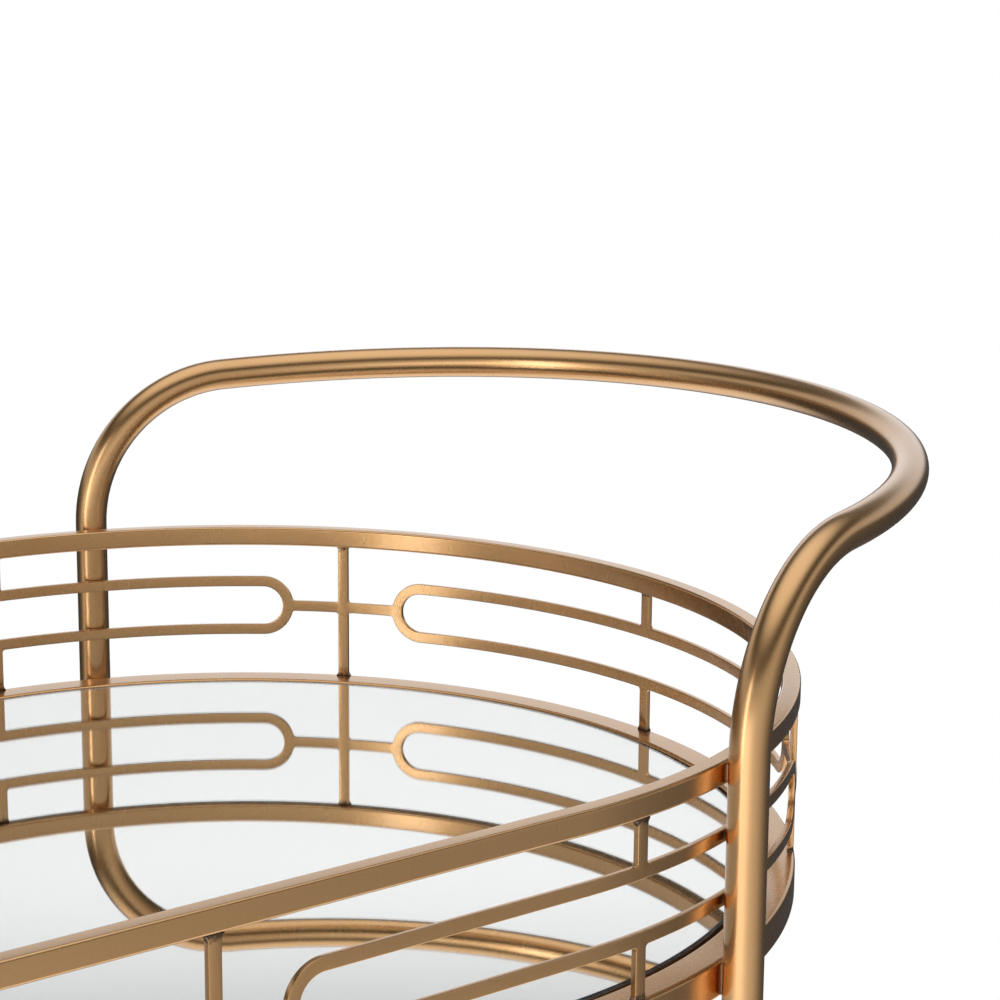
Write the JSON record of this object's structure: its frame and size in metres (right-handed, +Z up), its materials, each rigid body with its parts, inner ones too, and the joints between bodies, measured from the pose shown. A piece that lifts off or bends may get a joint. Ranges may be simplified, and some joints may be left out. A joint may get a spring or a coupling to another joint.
{
  "type": "bar cart",
  "caption": "Oval two-tier bar cart with mirror shelves, a pierced gallery round each tier, tube end frames that rise into handles, and swivel casters.",
  "frame": {"origin": "on the floor, under the middle of the cart", "axes": "+X along the cart's length from one handle to the other, +Y across its width, +Z up"},
  "size_m": [0.7734, 0.4204, 0.8392],
  "materials": {
    "champagne_metal": "satin brass-coloured plating on steel",
    "mirror_glass": "polished, silvered on the back",
    "backing_board": "raw pressed fibre board",
    "plain_steel": "zinc plated",
    "dark_plastic": "moulded, fine texture",
    "tread_rubber": "matt"
  },
  "bodies": {
    "cart_frame": {"upper_rim": "champagne_metal", "upper_gallery": "champagne_metal", "upper_shelf_ring": "champagne_metal", "upper_mirror": "mirror_glass", "upper_backing_board": "backing_board", "upper_cross_bar_1": "champagne_metal", "upper_cross_bar_2": "champagne_metal", "upper_cross_bar_3": "champagne_metal", "lower_rim": "champagne_metal", "lower_gallery": "champagne_metal", "lower_shelf_ring": "champagne_metal", "lower_mirror": "mirror_glass", "lower_backing_board": "backing_board", "lower_cross_bar_1": "champagne_metal", "lower_cross_bar_2": "champagne_metal", "lower_cross_bar_3": "champagne_metal", "right_end_frame": "champagne_metal", "left_end_frame": "champagne_metal", "front_right_leg_bush": "plain_steel", "front_right_caster_stem": "plain_steel", "rear_right_leg_bush": "plain_steel", "rear_right_caster_stem": "plain_steel", "front_left_leg_bush": "plain_steel", "front_left_caster_stem": "plain_steel", "rear_left_leg_bush": "plain_steel", "rear_left_caster_stem": "plain_steel"},
    "front_right_swivel": {"front_right_caster_bearing": "plain_steel", "front_right_caster_fork": "champagne_metal", "front_right_caster_axle": "plain_steel"},
    "front_right_wheel": {"front_right_wheel_hub": "dark_plastic", "front_right_tyre": "tread_rubber"},
    "rear_right_swivel": {"rear_right_caster_bearing": "plain_steel", "rear_right_caster_fork": "champagne_metal", "rear_right_caster_axle": "plain_steel"},
    "rear_right_wheel": {"rear_right_wheel_hub": "dark_plastic", "rear_right_tyre": "tread_rubber"},
    "front_left_swivel": {"front_left_caster_bearing": "plain_steel", "front_left_caster_fork": "champagne_metal", "front_left_caster_axle": "plain_steel", "front_left_brake_pin": "plain_steel"},
    "front_left_wheel": {"front_left_wheel_hub": "dark_plastic", "front_left_tyre": "tread_rubber"},
    "front_left_brake": {"front_left_brake_lever": "dark_plastic"},
    "rear_left_swivel": {"rear_left_caster_bearing": "plain_steel", "rear_left_caster_fork": "champagne_metal", "rear_left_caster_axle": "plain_steel", "rear_left_brake_pin": "plain_steel"},
    "rear_left_wheel": {"rear_left_wheel_hub": "dark_plastic", "rear_left_tyre": "tread_rubber"},
    "rear_left_brake": {"rear_left_brake_lever": "dark_plastic"}
  },
  "joints": [
    {"name": "front_right_caster_swivel", "type": "hinge", "parent": "cart_frame", "child": "front_right_swivel", "pos_m": [0.19074, -0.19841, 0.058], "axis": [0, 0, 1], "continuous": true},
    {"name": "front_right_wheel_spin", "type": "hinge", "parent": "front_right_swivel", "child": "front_right_wheel", "pos_m": [0.17274, -0.19841, 0.025], "axis": [0, 1, 0], "continuous": true},
    {"name": "rear_right_caster_swivel", "type": "hinge", "parent": "cart_frame", "child": "rear_right_swivel", "pos_m": [0.19074, 0.19841, 0.058], "axis": [0, 0, 1], "continuous": true},
    {"name": "rear_right_wheel_spin", "type": "hinge", "parent": "rear_right_swivel", "child": "rear_right_wheel", "pos_m": [0.17274, 0.19841, 0.025], "axis": [0, 1, 0], "continuous": true},
    {"name": "front_left_caster_swivel", "type": "hinge", "parent": "cart_frame", "child": "front_left_swivel", "pos_m": [-0.19074, -0.19841, 0.058], "axis": [0, 0, 1], "continuous": true},
    {"name": "front_left_wheel_spin", "type": "hinge", "parent": "front_left_swivel", "child": "front_left_wheel", "pos_m": [-0.20874, -0.19841, 0.025], "axis": [0, 1, 0], "continuous": true},
    {"name": "front_left_brake_press", "type": "hinge", "parent": "front_left_swivel", "child": "front_left_brake", "pos_m": [-0.22073, -0.19841, 0.05195], "axis": [0, -1, 0], "range_deg": [0, 15]},
    {"name": "rear_left_caster_swivel", "type": "hinge", "parent": "cart_frame", "child": "rear_left_swivel", "pos_m": [-0.19074, 0.19841, 0.058], "axis": [0, 0, 1], "continuous": true},
    {"name": "rear_left_wheel_spin", "type": "hinge", "parent": "rear_left_swivel", "child": "rear_left_wheel", "pos_m": [-0.20874, 0.19841, 0.025], "axis": [0, 1, 0], "continuous": true},
    {"name": "rear_left_brake_press", "type": "hinge", "parent": "rear_left_swivel", "child": "rear_left_brake", "pos_m": [-0.22073, 0.19841, 0.05195], "axis": [0, -1, 0], "range_deg": [0, 15]}
  ]
}
